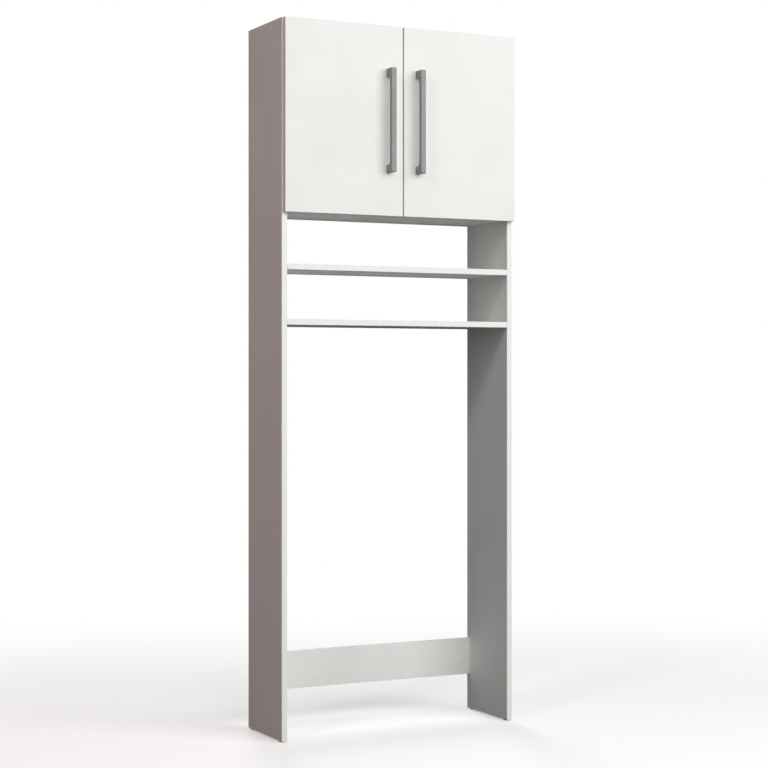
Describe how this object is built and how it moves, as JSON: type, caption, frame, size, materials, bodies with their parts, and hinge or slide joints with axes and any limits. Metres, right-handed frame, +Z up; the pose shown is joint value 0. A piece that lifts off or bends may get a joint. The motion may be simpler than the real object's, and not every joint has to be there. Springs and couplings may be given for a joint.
{
  "type": "washing machine cabinet",
  "caption": "Tall open-sided cabinet that stands over a washing machine, with a closed double-door top and open shelves below it.",
  "frame": {"origin": "on the floor, under the middle of the whole outline, handles included", "axes": "+X to the right seen from the front, +Y from the front to the wall, +Z up"},
  "size_m": [0.68, 0.2694, 1.85],
  "materials": {
    "white_board": "chipboard with a smooth satin white coating and matching edge bands",
    "white_hardboard": "thin hardboard, lacquered white on both faces",
    "satin_grey_metal": "satin grey, fine brushed",
    "nickel_steel": "nickel-plated pressed steel",
    "zinc_alloy": "dull die-cast zinc alloy",
    "grey_plastic": "matt pale grey moulded plastic"
  },
  "bodies": {
    "cabinet": {"top_panel": "white_board", "cabinet_floor": "white_board", "upper_open_shelf": "white_board", "lower_open_shelf": "white_board", "inner_shelf": "white_board", "rear_stretcher": "white_board", "back_panel": "white_hardboard", "left_side_panel": "white_board", "left_foot_glide_front": "grey_plastic", "left_shelf_pin_front": "nickel_steel", "floor_cam_left_front": "zinc_alloy", "upper_shelf_cam_left_front": "zinc_alloy", "lower_shelf_cam_left_front": "zinc_alloy", "left_foot_glide_rear": "grey_plastic", "left_shelf_pin_rear": "nickel_steel", "floor_cam_left_rear": "zinc_alloy", "upper_shelf_cam_left_rear": "zinc_alloy", "lower_shelf_cam_left_rear": "zinc_alloy", "left_wall_bracket": "nickel_steel", "left_lower_hinge_arm": "nickel_steel", "left_lower_hinge_plate": "zinc_alloy", "left_upper_hinge_arm": "nickel_steel", "left_upper_hinge_plate": "zinc_alloy", "right_side_panel": "white_board", "right_foot_glide_front": "grey_plastic", "right_shelf_pin_front": "nickel_steel", "floor_cam_right_front": "zinc_alloy", "upper_shelf_cam_right_front": "zinc_alloy", "lower_shelf_cam_right_front": "zinc_alloy", "right_foot_glide_rear": "grey_plastic", "right_shelf_pin_rear": "nickel_steel", "floor_cam_right_rear": "zinc_alloy", "upper_shelf_cam_right_rear": "zinc_alloy", "lower_shelf_cam_right_rear": "zinc_alloy", "right_wall_bracket": "nickel_steel", "right_lower_hinge_arm": "nickel_steel", "right_lower_hinge_plate": "zinc_alloy", "right_upper_hinge_arm": "nickel_steel", "right_upper_hinge_plate": "zinc_alloy"},
    "left_leaf": {"left_door": "white_board", "left_door_handle": "satin_grey_metal", "left_handle_screw_lower": "zinc_alloy", "left_lower_hinge_cup": "nickel_steel", "left_handle_screw_upper": "zinc_alloy", "left_upper_hinge_cup": "nickel_steel"},
    "left_outer_links": {"left_lower_hinge_outer_link": "nickel_steel", "left_upper_hinge_outer_link": "nickel_steel"},
    "left_inner_links": {"left_lower_hinge_inner_link": "nickel_steel", "left_upper_hinge_inner_link": "nickel_steel"},
    "right_leaf": {"right_door": "white_board", "right_door_handle": "satin_grey_metal", "right_handle_screw_lower": "zinc_alloy", "right_lower_hinge_cup": "nickel_steel", "right_handle_screw_upper": "zinc_alloy", "right_upper_hinge_cup": "nickel_steel"},
    "right_outer_links": {"right_lower_hinge_outer_link": "nickel_steel", "right_upper_hinge_outer_link": "nickel_steel"},
    "right_inner_links": {"right_lower_hinge_inner_link": "nickel_steel", "right_upper_hinge_inner_link": "nickel_steel"}
  },
  "joints": [
    {"name": "left_door_turn", "type": "hinge", "parent": "left_outer_links", "child": "left_leaf", "pos_m": [-0.3282, -0.09025, 1.60075], "axis": [0, 0, -1], "range_deg": [0, 133.8]},
    {"name": "left_outer_link_turn", "type": "hinge", "parent": "cabinet", "child": "left_outer_links", "pos_m": [-0.3102, -0.07555, 1.60075], "axis": [0, 0, 1], "range_deg": [0, 33.81]},
    {"name": "left_inner_link_turn", "type": "hinge", "parent": "cabinet", "child": "left_inner_links", "pos_m": [-0.3071, -0.08915, 1.60075], "axis": [0, 0, 1], "range_deg": [0, 15.71]},
    {"name": "right_door_turn", "type": "hinge", "parent": "right_outer_links", "child": "right_leaf", "pos_m": [0.3282, -0.09025, 1.60075], "axis": [0, 0, 1], "range_deg": [0, 133.8]},
    {"name": "right_outer_link_turn", "type": "hinge", "parent": "cabinet", "child": "right_outer_links", "pos_m": [0.3102, -0.07555, 1.60075], "axis": [0, 0, -1], "range_deg": [0, 33.81]},
    {"name": "right_inner_link_turn", "type": "hinge", "parent": "cabinet", "child": "right_inner_links", "pos_m": [0.3071, -0.08915, 1.60075], "axis": [0, 0, -1], "range_deg": [0, 15.71]}
  ],
  "couplings": [
    {"joint": "left_outer_link_turn", "follows": "left_door_turn", "ratio": 0.25262},
    {"joint": "left_inner_link_turn", "follows": "left_door_turn", "ratio": 0.11734},
    {"joint": "right_outer_link_turn", "follows": "right_door_turn", "ratio": 0.25262},
    {"joint": "right_inner_link_turn", "follows": "right_door_turn", "ratio": 0.11734}
  ]
}
